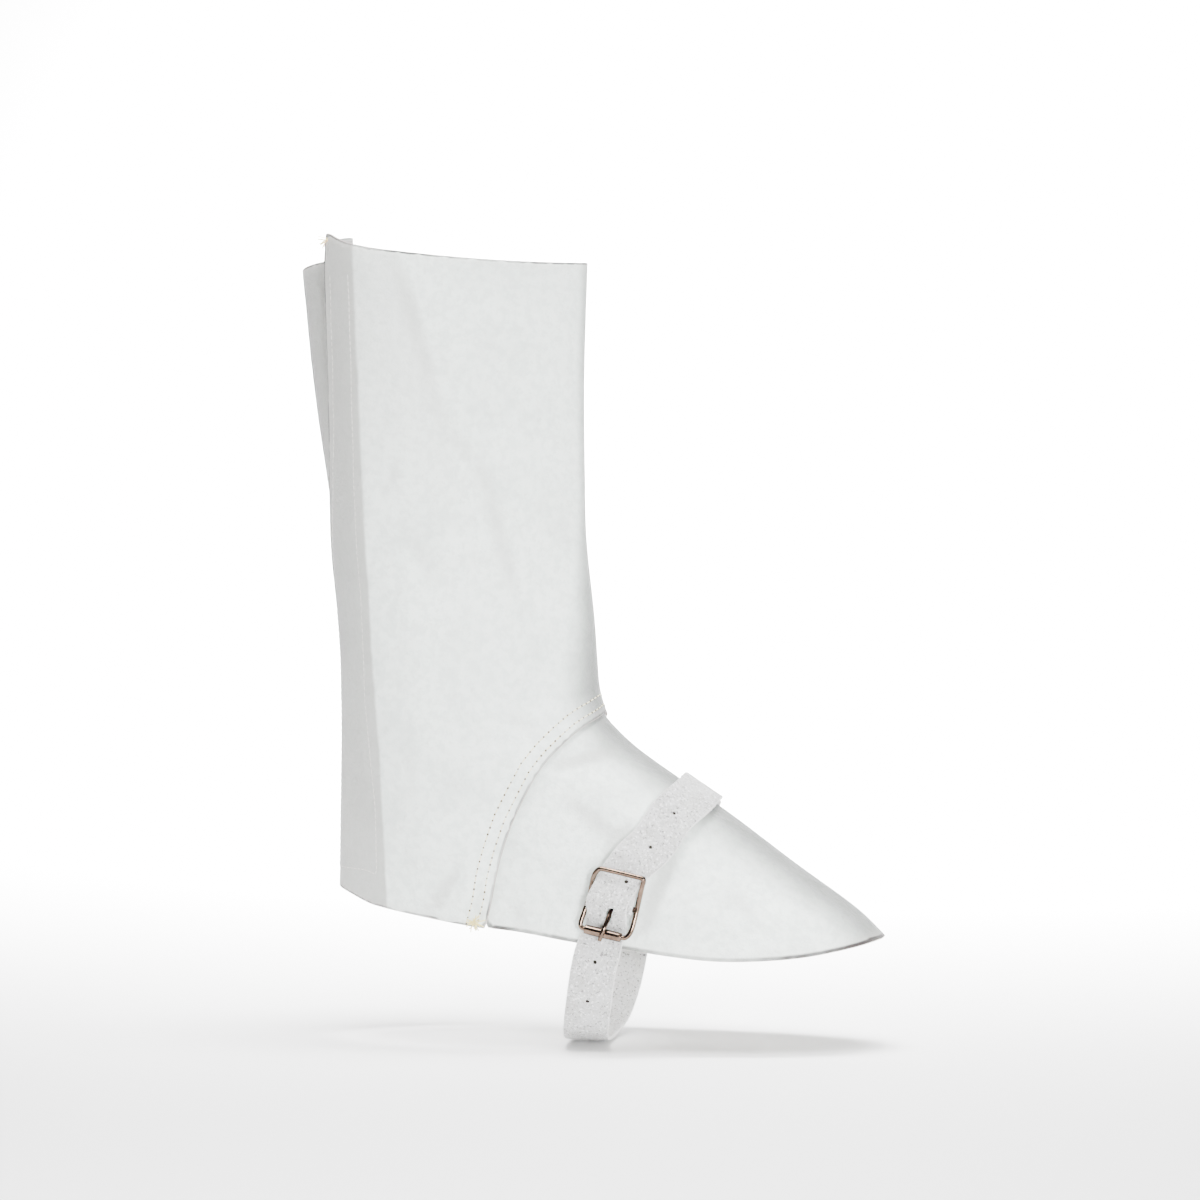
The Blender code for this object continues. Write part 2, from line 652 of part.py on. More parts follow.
class Buckle:
    """The buckle's places along the strap's route, and the lifts that pass round its bars."""

    def __init__(self, route):
        self.route = route
        self.bar = route.distance_at(BUCKLE_BAR_HEIGHT)
        self.front = self.bar + FRONT_BAR_AHEAD
        self.keeper = self.bar - KEEPER_BEHIND
        self.fold_radius = WIRE + 2 * GAP + STRAP_WALL / 2
        self.bar_lift = STRAP_LIFT + self.fold_radius
        self.front_strap_lift = STRAP_LIFT + FRONT_RISE
        self.front_lift = self.front_strap_lift + STRAP_WALL / 2 + 3 * GAP + ROLLER
        self.keeper_lift = self.upper_lift(self.keeper) + STRAP_WALL / 2 + 3 * GAP + WIRE
        self.bars = {
            "front": (self.front, self.front_lift),
            "centre": (self.bar, self.bar_lift),
            "keeper": (self.keeper, self.keeper_lift),
        }
        self.across = route.frame(self.bar)[2]

    def point(self, distance, across, lift):
        """A point beside the strap's middle, in the one direction that all the bars share."""
        return self.route.point(distance, 0.0, lift) + self.across * across

    def strap_half(self, distance):
        """Half the strap's width, which the buckle pinches."""
        start = ease((distance - self.keeper + PINCH_RAMP) / PINCH_RAMP)
        end = ease((distance - self.front) / PINCH_RAMP)
        return STRAP_WIDTH / 2 - PINCH * (start - end)

    def free_end_shift(self, distance):
        """How far the free end's layer is off the middle, over the centre bar."""
        share = (distance - self.keeper) / (self.front - self.keeper)
        return FREE_END_SHIFT * math.sin(math.pi * min(1.0, max(0.0, share))) ** 4

    def lower_lift(self, distance):
        """Lift of the layer that holds the buckle: low on the vamp, over its own end, then over the bar."""
        over_end = STRAP_LAYER * ease((distance - self.bar + LAYER_REACH) / RISE_LENGTH)
        rise = ease((distance - self.bar + BAR_RISE) / RISE_LENGTH)
        over_bar = (2 * self.fold_radius - STRAP_LAYER) * rise
        return STRAP_LIFT + over_end + over_bar

    def upper_lift(self, distance):
        """Lift of the free end's layer: under the front bar, over the centre bar, then on the lower layer."""
        if distance <= self.bar:
            return self.lower_lift(distance) + STRAP_LAYER
        over = self.lower_lift(self.bar) + STRAP_LAYER
        below = mix(over, self.front_strap_lift, ease((distance - self.bar) / FRONT_BAR_AHEAD))
        return mix(below, STRAP_LIFT, ease((distance - self.front - SETTLE_START) / SETTLE_LENGTH))


def strap_stations(route, buckle):
    """Places along the strap, from its folded end round the foot to its free end."""
    stations = []
    folded_end = buckle.bar - FOLDED_END
    for i in range(END_STEPS):
        stations.append(Station(mix(folded_end, buckle.bar, i / END_STEPS), STRAP_LIFT, 0.0))
    for i in range(TURN_STEPS + 1):
        turn = math.pi * i / TURN_STEPS
        stations.append(Station(buckle.bar + buckle.fold_radius * math.sin(turn),
                                buckle.bar_lift - buckle.fold_radius * math.cos(turn), 0.0))
    layer_end = buckle.bar - LAYER_REACH
    for i in range(RAISED_STEPS + 1):
        distance = mix(buckle.bar - BEHIND_BAR, layer_end, i / RAISED_STEPS)
        stations.append(Station(distance, buckle.lower_lift(distance), 0.0))
    settled = buckle.front + SETTLE_START + SETTLE_LENGTH
    stop = settled - route.length
    count = round((layer_end - stop) / STRAP_STEP)
    stations += [Station(mix(layer_end, stop, i / count), STRAP_LIFT, 0.0) for i in range(1, count)]
    free_end = [mix(settled, layer_end, i / LAYER_STEPS) for i in range(LAYER_STEPS + 1)]
    count = round((layer_end + FREE_END_PAST_RIDGE) / STRAP_STEP)
    free_end += [mix(layer_end, -FREE_END_PAST_RIDGE, i / count) for i in range(1, count + 1)]
    for distance in free_end:
        stations.append(Station(distance - route.length, buckle.upper_lift(distance),
                                buckle.free_end_shift(distance)))
    return stations


def strap(route, buckle, finish, collection, cutters):
    grid = []
    for distance, lift, shift in strap_stations(route, buckle):
        half = buckle.strap_half(distance % route.length)
        grid.append([route.point(distance, shift + half * side, lift) for side in (-1, 0, 1)])
    piece = sheet("strap", grid, STRAP_WALL, 0.0, finish, collection)
    width = 2 * PRONG + PIN_CLEARANCE
    slot_top = buckle.bar_lift + buckle.fold_radius + STRAP_WALL / 2 + GAP
    slot_frame = route.matrix(buckle.bar - SLOT_BEHIND, slot_top / 2 - SLOT_BELOW)
    slot = box_cutter("fold_slot", slot_frame, (SLOT_LENGTH, width, slot_top + 2 * SLOT_BELOW), cutters)
    hole_frame = route.matrix(buckle.bar + HOLE_AHEAD, HOLE_LIFT)
    hole = box_cutter("prong_hole", hole_frame, (HOLE_LENGTH, width, HOLE_DEPTH), cutters)
    cut(piece, slot)
    cut(piece, hole)
    return piece


# The buckle
def buckle_frame(buckle, finish, collection, cutters):
    """A bent wire loop with a bar across its middle."""
    side = STRAP_WIDTH / 2 - PINCH + WIRE + ARM_CLEARANCE
    right, left = [], []
    for place in ARM:
        distance, lift = buckle.bars[place.bar]
        across = side + place.beyond
        right.append(buckle.point(distance + place.ahead, across, lift + place.above))
        left.append(buckle.point(distance + place.ahead, -across, lift + place.above))
    loop = smooth_path(right, ARM_SAMPLES) + smooth_path(left, ARM_SAMPLES)[::-1]
    frame = wire("buckle_frame", loop, WIRE, True, finish, collection)
    reach = side + BAR_OVERREACH
    ends = [buckle.point(buckle.bar, across, buckle.bar_lift) for across in (-reach, reach)]
    bar = wire("buckle_centre_bar", ends, WIRE - BAR_SHRINK, False, finish, cutters)
    bar.hide_render = True
    bar.display_type = "WIRE"
    union(frame, bar)
    return frame


def buckle_roller(buckle, finish, collection):
    """A short tube that turns on the front bar."""
    half = STRAP_WIDTH / 2 - ROLLER_INSET
    bore = WIRE + GAP
    shoulder, bevelled = half - ROLLER_BEVEL, ROLLER - ROLLER_BEVEL
    profile = ((-half, bore), (-half, bevelled), (-shoulder, ROLLER), (shoulder, ROLLER),
               (half, bevelled), (half, bore))
    mesh = bpy.data.meshes.new("buckle_roller")
    shape = bmesh.new()
    corners = [shape.verts.new(Vector((radius, 0.0, -place)) * MM) for place, radius in profile]
    for i, corner in enumerate(corners):
        shape.edges.new((corner, corners[(i + 1) % len(corners)]))
    shape.to_mesh(mesh)
    shape.free()
    mesh.materials.append(finish)
    piece = bpy.data.objects.new("buckle_roller", mesh)
    collection.objects.link(piece)
    turning = piece.modifiers.new("turned", "SCREW")
    turning.steps = ROLLER_STEPS
    turning.render_steps = ROLLER_STEPS
    turning.use_merge_vertices = True
    turning.merge_threshold = 0.0001
    start = buckle.point(buckle.front, -half, buckle.front_lift)
    end = buckle.point(buckle.front, half, buckle.front_lift)
    turn = (end - start).to_track_quat("Z", "Y").to_matrix().to_4x4()
    piece.matrix_world = Matrix.Translation((start + end) / 2 * MM) @ turn
    return piece


def buckle_prong(buckle, finish, collection):
    """A pin that hooks round the centre bar, passes through the strap and rests on the roller."""
    hook = WIRE + GAP + PRONG
    places = []
    for turn in HOOK_TURNS:
        angle = math.radians(turn)
        places.append((buckle.bar + hook * math.cos(angle), buckle.bar_lift + hook * math.sin(angle)))
    places.append((buckle.bar + PRONG_NECK.ahead, buckle.bar_lift + PRONG_NECK.above))
    rest = buckle.front_lift + ROLLER + GAP + PRONG
    places += [(buckle.front + place.ahead, rest + place.above) for place in PRONG_REST]
    path = smooth_path([buckle.point(distance, 0.0, lift) for distance, lift in places], PRONG_SAMPLES)
    return wire("buckle_prong", path, PRONG, False, finish, collection)


def build():
    clear_scene()
    pieces = new_collection("gaiter")
    cutters = new_collection("cutters")
    leather = material("split_leather", LEATHER, 0.85)
    strap_leather = material("strap_leather", STRAP_LEATHER, 0.9)
    tape = material("closure_tape", TAPE, 0.95)
    nickel = material("nickel", NICKEL, 0.25, 1.0)

    leg_panel(leather, pieces)
    vamp(leather, pieces)
    hook_inset = WALL + GAP
    loop_inset = hook_inset + TAPE_WALL + GAP
    closure_tape("hook_tape", TAPE_ROWS, hook_inset, tape, pieces)
    closure_tape("loop_tape", TAPE_ROWS - 1, loop_inset, tape, pieces)

    route = Route()
    buckle = Buckle(route)
    strap(route, buckle, strap_leather, pieces, cutters)
    buckle_frame(buckle, nickel, pieces, cutters)
    buckle_roller(buckle, nickel, pieces)
    buckle_prong(buckle, nickel, pieces)


build()
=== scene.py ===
import math
import random
from collections import namedtuple

import bmesh
import bpy
from mathutils import Matrix, Vector
from mathutils.bvhtree import BVHTree
from mathutils.kdtree import KDTree


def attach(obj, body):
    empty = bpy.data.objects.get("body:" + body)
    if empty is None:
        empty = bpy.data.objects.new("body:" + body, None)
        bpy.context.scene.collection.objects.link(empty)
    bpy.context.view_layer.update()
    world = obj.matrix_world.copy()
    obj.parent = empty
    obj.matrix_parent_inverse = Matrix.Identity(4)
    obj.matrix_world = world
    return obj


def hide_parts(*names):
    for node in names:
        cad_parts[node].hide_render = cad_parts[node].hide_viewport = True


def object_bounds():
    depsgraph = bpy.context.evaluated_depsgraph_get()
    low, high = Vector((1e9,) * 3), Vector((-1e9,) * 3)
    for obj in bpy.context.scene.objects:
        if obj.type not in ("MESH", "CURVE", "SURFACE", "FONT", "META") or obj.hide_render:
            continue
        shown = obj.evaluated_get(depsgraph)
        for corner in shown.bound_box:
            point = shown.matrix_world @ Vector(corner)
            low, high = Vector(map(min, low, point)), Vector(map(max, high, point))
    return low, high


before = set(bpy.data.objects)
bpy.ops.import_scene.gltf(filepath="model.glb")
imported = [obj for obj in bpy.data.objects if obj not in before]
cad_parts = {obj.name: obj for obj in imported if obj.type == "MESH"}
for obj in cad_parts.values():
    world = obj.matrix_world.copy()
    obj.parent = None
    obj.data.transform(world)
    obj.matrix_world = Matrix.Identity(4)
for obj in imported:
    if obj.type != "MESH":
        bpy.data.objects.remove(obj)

Bend = namedtuple("Bend", ("foot_x", "slope", "foot_z", "profile"))
Blotch = namedtuple("Blotch", ("scale", "detail", "roughness", "drawn_out", "limits", "share", "tint"))
EdgePoint = namedtuple("EdgePoint", ("place", "inward", "normal"))
Lamp = namedtuple("Lamp", ("name", "place", "aim", "size", "power", "spread"))
Sheet = namedtuple("Sheet", ("node", "flat", "area"))

MM = 0.001
NEAR, FAR = -1, 1
cad_low, cad_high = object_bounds()

# Camera, at the photograph's angle: level, a little to the toe's side
CAMERA_TURN = math.radians(10.0)
CAMERA_DISTANCE = 1500 * MM
CAMERA_TARGET = Vector((66, 0, 56)) * MM
CAMERA_CLIP = (0.05, 20.0)
FRAME_WIDTH = 600 * MM
SENSOR = 36.0

# Floor and backdrop, in metres
FLOOR_CLEARANCE = 1.5 * MM
FLOOR_HALF_WIDTH = 4.0
FLOOR_FRONT = -3.0
SWEEP_START = 0.7
SWEEP_RADIUS = 1.0
SWEEP_STEPS = 24
BACKDROP_TOP = 3.0

# Lights, with their spread in degrees
LAMPS = (
    Lamp("key", (1.0, -1.98, 0.2), (0.05, 0.0, 0.05), 0.5, 103.0, 180),
    Lamp("top", (0.1, -0.1, 2.4), (0.1, 0.0, 0.0), 2.0, 4.0, 180),
    Lamp("floor", (0.1, -0.95, 1.7), (0.1, -0.75, -0.17), 1.2, 22.0, 56),
    Lamp("back", (0.0, 0.5, 2.1), (0.0, 1.7, 0.1), 1.6, 440.0, 84),
)
STUDIO_STRENGTH = 0.045

# Shells on the solids
WELD = 0.001 * MM
CREASE = 0.75
JOIN_ANGLE = math.radians(35)
JOIN_SHAPE = math.radians(70)
RIM_ANGLE = math.radians(50)
EDGE_SAMPLES = 5
SWELL = 0.12 * MM
# Nearer to the middle plane than this, the reliefs fade
RELIEF_FADE = 12 * MM

# Fine creases, as a line in side view: side, from x and z, to x and z, spread and depth, in millimetres
LEG_CREASES = (
    (NEAR, -23, 220, -10, 172, 5.0, -0.75),
    (NEAR, -13, 222, 1, 170, 5.5, 0.60),
    (NEAR, -11, 173, -4, 146, 5.0, -0.40),
    (NEAR, -4, 149, 17, 114, 4.5, -0.45),
    (NEAR, 16, 115, 31, 58, 5.5, -0.65),
    (NEAR, 26, 112, 39, 60, 5.5, 0.45),
    (NEAR, 34, 88, 46, 90, 2.0, -0.34),
    (NEAR, 45, 90, 58, 83, 2.0, -0.34),
    (NEAR, 4, 74, 22, 77, 2.4, -0.32),
    (NEAR, -2, 137, 6, 126, 2.2, -0.34),
    (NEAR, 2, 119, 9, 111, 2.2, -0.34),
    (NEAR, -31, 106, -23, 122, 3.0, -0.40),
    (NEAR, -20, 92, -6, 64, 5.0, -0.45),
    (NEAR, -12, -98, 5, -76, 4.2, -1.10),
    (NEAR, 1, -98, 11, -72, 3.8, 0.95),
    (NEAR, 12, -98, 17, -80, 2.6, -0.40),
    (NEAR, 26, 2, 44, -10, 4.0, -0.45),
    (NEAR, -14, 6, 0, -30, 7.0, 0.50),
    (FAR, -34, 212, -18, 168, 5.0, -0.50),
    (FAR, 6, 152, 24, 112, 5.0, -0.50),
    (FAR, 12, 96, 36, 86, 2.4, -0.35),
    (FAR, -12, 62, 10, 30, 5.0, -0.50),
    (FAR, 24, 4, 42, -10, 4.0, -0.45),
    (FAR, -18, -94, -6, -70, 4.0, 0.65),
    (FAR, 6, -96, 12, -76, 3.0, -0.45),
)
VAMP_CREASES = (
    (NEAR, 50, -25, 76, -19, 3.4, -0.95),
    (NEAR, 48, -17, 72, -11, 3.6, 0.60),
    (NEAR, 57, -41, 81, -60, 5.0, -0.80),
    (NEAR, 88, -53, 65, -98, 4.6, -1.30),
    (NEAR, 111, -60, 95, -104, 3.6, -1.10),
    (NEAR, 62, -32, 88, -50, 5.0, 0.35),
    (NEAR, 30, -88, 36, -104, 3.0, -0.45),
    (NEAR, 132, -82, 150, -100, 5.0, -0.45),
    (NEAR, 176, -98, 194, -109, 4.5, 0.35),
    (FAR, 54, -22, 78, -26, 3.4, -0.50),
    (FAR, 60, -50, 84, -62, 4.6, -0.50),
    (FAR, 120, -70, 142, -96, 5.0, -0.45),
    (FAR, 168, -94, 186, -108, 4.5, 0.35),
)

# Where the panel bends over the closure: the foot of the bend's line in side view, how much its x changes
# with z, and how far the panel stands out at distances ahead of the line, in millimetres
BENDS = {
    NEAR: Bend(-35.2, -0.033, -75.0, ((-24, 0.0), (-16, 0.6), (0, 5.4), (21, 6.4), (80, 0.0))),
    FAR: Bend(-22.0, -0.040, -75.0, ((-28, 0.0), (0, 3.0), (26, 3.6), (70, 0.0))),
}
BEND_ROUNDING = 1.2
# The slow unevenness of the leather: size and height of each wave
WAVES = ((46 * MM, 0.4 * MM), (19 * MM, 0.1 * MM))

# The leather's blotches from first to last coat: drawn_out is their scale along the height, where it differs,
# and limits are the noise values at which they start and are full
LEATHER_COLOUR = (241, 249, 244)
BLOTCHES = {
    "broad": Blotch(11.0, 4.0, 0.55, None, (0.32, 0.70), 0.60, (228, 234, 230)),
    "cloud": Blotch(45.0, 5.0, 0.65, None, (0.42, 0.75), 0.40, (192, 200, 196)),
    "mottle": Blotch(230.0, 4.0, 0.65, None, (0.42, 0.62), 0.40, (196, 205, 201)),
    "streak": Blotch(60.0, 4.0, 0.60, 0.25, (0.50, 0.75), 0.25, (236, 242, 239)),
    "fleck": Blotch(330.0, 3.0, 0.60, None, (0.62, 0.74), 0.30, (196, 194, 187)),
}

# Painted shade on the near side at the closure: a strip behind the bend, and a band ahead of it that leans
# and fades
SIDE_BLUR = 2 * MM
STRIP_BLUR = 1 * MM
STRIP_RAGGED = 2 * MM
BAND_TOP = 215 * MM
BAND_LEAN = 0.24
BAND_FRONT = (19 * MM, 27 * MM)
BAND_FADE = (50 * MM, 200 * MM)

# Painted shade along the front fold, where the leather turns away from the light: how far off the middle
# plane, its squared half widths, and where it starts in x, widens in z and fades in z
FOLD_SIDE = 4 * MM
FOLD_NARROW = 160 * MM * MM
FOLD_WIDER = 1200 * MM * MM
FOLD_START = (30 * MM, 50 * MM)
FOLD_WIDENS = (-40 * MM, 110 * MM)
FOLD_FADE = (0.0, 120 * MM)

# The dark line at the cut edges: its width on the leg and on the vamp, how many widths from the edge it and
# the wear beside it fade, and where along x it turns solid towards the toe as painted shade of the
# turned-down edge
LEG_LINE = 0.95 * MM
VAMP_LINE = 1.8 * MM
LINE_LIMITS = (0.6, 1.3)
WORN_LIMITS = (0.5, 4.5)
TOE_LINE = (150 * MM, 200 * MM)

# Sewing
SEAM_PITCH = 3.5 * MM
SEAM_PIT = 0.55 * MM
SEAM_ROWS = (3.8 * MM, 9.2 * MM)
SEAM_TOP = 8 * MM
SEAM_REAR = 15.5 * MM
TAPE_PITCH = 3.2 * MM
TAPE_PIT = 0.28 * MM
TAPE_ROWS = (1.8 * MM,)
TAPE_SEWN_TOP = 226 * MM
THREAD = 0.3 * MM
THREAD_FLATNESS = 0.8
PIT_SHAPE = (1.0, 0.85, 0.35)
VIEW_REACH = 12 * MM
SEAM_KNOT = Vector((13.0, -49.6, -101.0)) * MM
CORNER_INSET = Vector((1.0, -0.4, -3.0)) * MM

# Strap, with the places of its holes in millimetres
HOLE_RADIUS = 1.0 * MM
HOLE_DEPTH = 4.6 * MM
HOLE_SHADE_DEPTH = 0.8 * MM
HOLE_SIDES = 20
HOLE_REACH = 15 * MM
HOLE_CENTRES = (
    (108.6, -29.5, -47.6),
    (98.7, -42.5, -63.4),
    (88.0, -55.5, -79.6),
    (72.4, -50.5, -119.0),
    (68.2, -48.0, -138.5),
)
FIBRE = 0.07 * MM

# Tapes, in metres
TAPES = (
    Sheet("hook_tape", (0.042, 0.314), 0.0096),
    Sheet("loop_tape", (0.041, 0.302), 0.009),
)


# Materials
class Value:
    """A shader value: sums, differences and products of values add their Math nodes."""

    def __init__(self, tree, socket):
        self.tree, self.socket = tree, socket

    def join(self, operation, first, second):
        node = self.tree.nodes.new("ShaderNodeMath")
        node.operation = operation
        for place, value in zip(node.inputs, (first, second)):
            if isinstance(value, Value):
                self.tree.links.new(value.socket, place)
            else:
                place.default_value = value
        return Value(self.tree, node.outputs[0])

    def __add__(self, other):
        return self.join("ADD", self, other)

    def __radd__(self, other):
        return self.join("ADD", other, self)

    def __sub__(self, other):
        return self.join("SUBTRACT", self, other)

    def __rsub__(self, other):
        return self.join("SUBTRACT", other, self)

    def __mul__(self, other):
        return self.join("MULTIPLY", self, other)

    def __rmul__(self, other):
        return self.join("MULTIPLY", other, self)


class Finish:
    """A material made of nodes on Object coordinates."""

    def __init__(self, name, **constants):
        self.material = bpy.data.materials.new(name)
        self.material.use_nodes = True
        self.tree = self.material.node_tree
        self.shader = self.tree.nodes["Principled BSDF"]
        for socket, value in constants.items():
            self.shader.inputs[socket.replace("_", " ")].default_value = value
        self.place = self.node("ShaderNodeTexCoord", output="Object")

    def node(self, kind, settings=None, sockets=None, output=0):
        made = self.tree.nodes.new(kind)
        for name, value in (settings or {}).items():
            setattr(made, name, value)
        for name, value in (sockets or {}).items():
            if isinstance(value, Value):
                self.tree.links.new(value.socket, made.inputs[name])
            else:
                made.inputs[name].default_value = value
        return Value(self.tree, made.outputs[output])

    def noise(self, scale, detail=3.0, roughness=0.55, place=None):
        return self.node("ShaderNodeTexNoise", sockets={
            "Vector": place or self.place, "Scale": scale, "Detail": detail, "Roughness": roughness})

    def steps(self, value, low, high):
        """0 below low, 1 above high and smooth between."""
        return self.node("ShaderNodeMapRange", {"interpolation_type": "SMOOTHSTEP"},
                         {"Value": value, "From Min": low, "From Max": high})

    def blend(self, factor, first, second):
        sockets = {0: factor, 6: first, 7: second}
        return self.node("ShaderNodeMix", {"data_type": "RGBA"}, sockets, output=2)

    def stretch(self, height):
        """The place with its height scaled, which draws a pattern out where the scale is under 1."""
        return self.node("ShaderNodeMapping", sockets={"Vector": self.place, "Scale": (1.0, 1.0, height)})

    def attribute(self, name):
        return self.node("ShaderNodeAttribute", {"attribute_name": name}, output="Fac")

    def feed(self, socket, value):
        self.tree.links.new(value.socket, self.shader.inputs[socket])

    def relief(self, height, strength, distance):
        self.feed("Normal", self.node("ShaderNodeBump", sockets={
            "Height": height, "Strength": strength, "Distance": distance}))


def colour(red, green, blue):
    """A colour given as it looks on a screen, from 0 to 255, with full alpha."""
    def linear(part):
        part /= 255
        return part / 12.92 if part <= 0.04045 else ((part + 0.055) / 1.055) ** 2.4
    return (linear(red), linear(green), linear(blue), 1.0)


def closure_painted_shade(skin, base, x, y, z):
    """Paints shade on the strip behind the near side's bend over the closure, and on a band ahead of it."""
    bend = BENDS[NEAR]
    ragged = (skin.noise(40.0, 2.0) - 0.5) * STRIP_RAGGED
    ahead = x - (z - bend.foot_z * MM) * bend.slope - bend.foot_x * MM + ragged
    near_side = 1.0 - skin.steps(y, -SIDE_BLUR, SIDE_BLUR)
    strip = (1.0 - skin.steps(ahead, -STRIP_BLUR, STRIP_BLUR)) * near_side
    band = 1.0 - skin.steps(ahead + (z - BAND_TOP) * BAND_LEAN, *BAND_FRONT)
    band = band * near_side * skin.steps(z, *BAND_FADE)
    # Painted shade: a light grey on the band, a deeper grey on the strip
    base = skin.blend(band * 0.42, base, colour(184, 185, 182))
    return skin.blend(strip * 0.8, base, colour(158, 157, 154))


def painted_fold_shade(skin, base, x, y, z):
    """Paints shade on the front fold of the leg, narrow at the top, and on the ridge of the vamp."""
    across = y - FOLD_SIDE
    reach = FOLD_NARROW + (1.0 - skin.steps(z, *FOLD_WIDENS)) * FOLD_WIDER
    fold = (1.0 - skin.steps(across * across, 0.0, reach)) * skin.steps(x, *FOLD_START)
    # Painted shade, strongest low on the fold
    return skin.blend(fold * (0.94 - skin.steps(z, *FOLD_FADE) * 0.2), base, colour(78, 79, 77))


def cut_line(skin, rim, x):
    """How much the dark line at a cut edge shows: in patches, and more towards the toe, where the added
    darkness is painted shade of the cut edge turned down.
    """
    patches = skin.steps(skin.noise(28.0, 3.0), 0.35, 0.65)
    share = 0.45 + patches * 0.5 + skin.steps(x, *TOE_LINE) * 0.5
    return (1.0 - skin.steps(rim, *LINE_LIMITS)) * share


def split_leather():
    """Off-white chrome split: matt, with a short nap, blotches, painted shade on its folds, creases and
    closure, and a dark line at the cut.
    """
    skin = Finish("split_leather", Sheen_Weight=0.2, Sheen_Roughness=0.5, Specular_IOR_Level=0.2)
    x, y, z = (skin.node("ShaderNodeSeparateXYZ", sockets={"Vector": skin.place}, output=axis)
               for axis in range(3))
    base, masks = colour(*LEATHER_COLOUR), {}
    for name, blotch in BLOTCHES.items():
        place = skin.stretch(blotch.drawn_out) if blotch.drawn_out else skin.place
        noise = skin.noise(blotch.scale, blotch.detail, blotch.roughness, place)
        masks[name] = skin.steps(noise, *blotch.limits)
        base = skin.blend(masks[name] * blotch.share, base, colour(*blotch.tint))
    grain = skin.noise(800.0, 4.0, 0.7)
    base = skin.blend(grain * 0.22, base, colour(186, 194, 190))
    base = closure_painted_shade(skin, base, x, y, z)
    base = painted_fold_shade(skin, base, x, y, z)
    # Painted shade in the hollows of the fine creases, darker where they are deeper
    base = skin.blend(skin.steps(skin.attribute("hollow"), 0.0, 0.8) * 0.5, base, colour(170, 170, 167))
    rim = skin.attribute("edge_distance")
    base = skin.blend((1.0 - skin.steps(rim, *WORN_LIMITS)) * 0.18, base, colour(190, 184, 178))
    skin.feed("Base Color", skin.blend(cut_line(skin, rim, x), base, colour(46, 41, 39)))
    skin.feed("Roughness", 0.78 + grain * 0.16)
    vein = skin.node("ShaderNodeTexVoronoi", {"feature": "DISTANCE_TO_EDGE"},
                     {"Vector": skin.stretch(0.6), "Scale": 70.0}, output="Distance")
    hair = (1.0 - skin.steps(vein, 0.0, 0.06)) * masks["cloud"]
    dents = skin.noise(120.0, 4.0, 0.6)
    pucker = skin.noise(320.0, 3.0, 0.6)
    nap = skin.noise(2400.0, 3.0, 0.6)
    skin.relief(grain * 0.3 + dents * 1.2 + pucker * 0.5 - hair * 0.1 + nap * 0.12, 0.8, 0.0014)
    return skin.material


def cut_edge():
    """The grey-pink core that shows where the leather is cut."""
    edge = Finish("leather_cut_edge", Roughness=0.95, Specular_IOR_Level=0.15)
    fibre = edge.noise(1500.0, 4.0, 0.7)
    edge.feed("Base Color", edge.blend(fibre, colour(190, 182, 179), colour(150, 141, 138)))
    edge.relief(fibre, 0.5, 0.0003)
    return edge.material


def flesh_side():
    """The inner side of the leather, a little yellower and rougher."""
    flesh = Finish("leather_flesh_side", Roughness=0.95, Sheen_Weight=0.3, Specular_IOR_Level=0.15)
    fibre = flesh.noise(700.0, 5.0, 0.75)
    patch = flesh.steps(flesh.noise(30.0, 4.0), 0.35, 0.7)
    base = flesh.blend(patch, colour(216, 214, 208), colour(202, 199, 191))
    flesh.feed("Base Color", flesh.blend(fibre * 0.35, base, colour(182, 178, 170)))
    flesh.relief(fibre + flesh.noise(2000.0, 3.0, 0.7) * 0.5, 0.7, 0.0005)
    return flesh.material


def suede(name, light_patch, dark_patch):
    """Grey-white strap suede with a coarse, uneven nap."""
    nap = Finish(name, Roughness=0.95, Sheen_Weight=0.35, Sheen_Roughness=0.6, Specular_IOR_Level=0.1)
    tuft = nap.noise(520.0, 5.0, 0.8)
    patch = nap.noise(110.0, 4.0)
    spot = nap.steps(nap.noise(760.0, 3.0, 0.7), 0.55, 0.66)
    light = nap.steps(nap.noise(690.0, 3.0, 0.7), 0.54, 0.64)
    base = nap.blend(nap.steps(patch, 0.35, 0.65), light_patch, dark_patch)
    base = nap.blend(nap.steps(tuft, 0.35, 0.65) * 0.5, base, colour(224, 224, 224))
    base = nap.blend(spot * 0.9, base, colour(96, 94, 91))
    nap.feed("Base Color", nap.blend(light * 0.85, base, colour(255, 255, 255)))
    nap.relief(tuft * 1.4 + nap.noise(1100.0, 3.0, 0.7) * 0.6, 1.0, 0.0013)
    return nap.material


def suede_edge():
    """The strap's cut edges, paler than its face."""
    edge = Finish("strap_edge", Roughness=0.95, Specular_IOR_Level=0.1)
    fibre = edge.noise(1300.0, 4.0, 0.7)
    edge.feed("Base Color", edge.blend(fibre, colour(244, 244, 243), colour(214, 213, 211)))
    edge.relief(fibre, 0.7, 0.0004)
    return edge.material


def woven_tape():
    """Grey-white closure tape, woven across its length."""
    tape = Finish("woven_tape", Roughness=0.9, Sheen_Weight=0.3)
    ribs = tape.node("ShaderNodeTexWave", {"bands_direction": "Z"},
                     {"Vector": tape.place, "Scale": 220.0, "Distortion": 0.6, "Detail": 1.0}, output="Fac")
    pile = tape.noise(1800.0, 3.0, 0.7)
    worn = ribs * 0.35 + pile * 0.25
    tape.feed("Base Color", tape.blend(worn, colour(172, 172, 170), colour(96, 96, 93)))
    tape.relief(ribs + pile * 0.7, 0.6, 0.0003)
    return tape.material


def sewing_thread(name, light, dark):
    """Twisted thread."""
    thread = Finish(name, Roughness=0.7, Sheen_Weight=0.2)
    twist = thread.noise(2400.0, 2.0, 0.6)
    thread.feed("Base Color", thread.blend(twist, light, dark))
    thread.relief(twist, 0.5, 0.0002)
    return thread.material


def shaded_hole(name, light, dark):
    """The shade in a hole of the needle or the punch."""
    pit = Finish(name, Roughness=1.0, Specular_IOR_Level=0.0)
    pit.feed("Base Color", pit.blend(pit.noise(900.0), light, dark))
    return pit.material


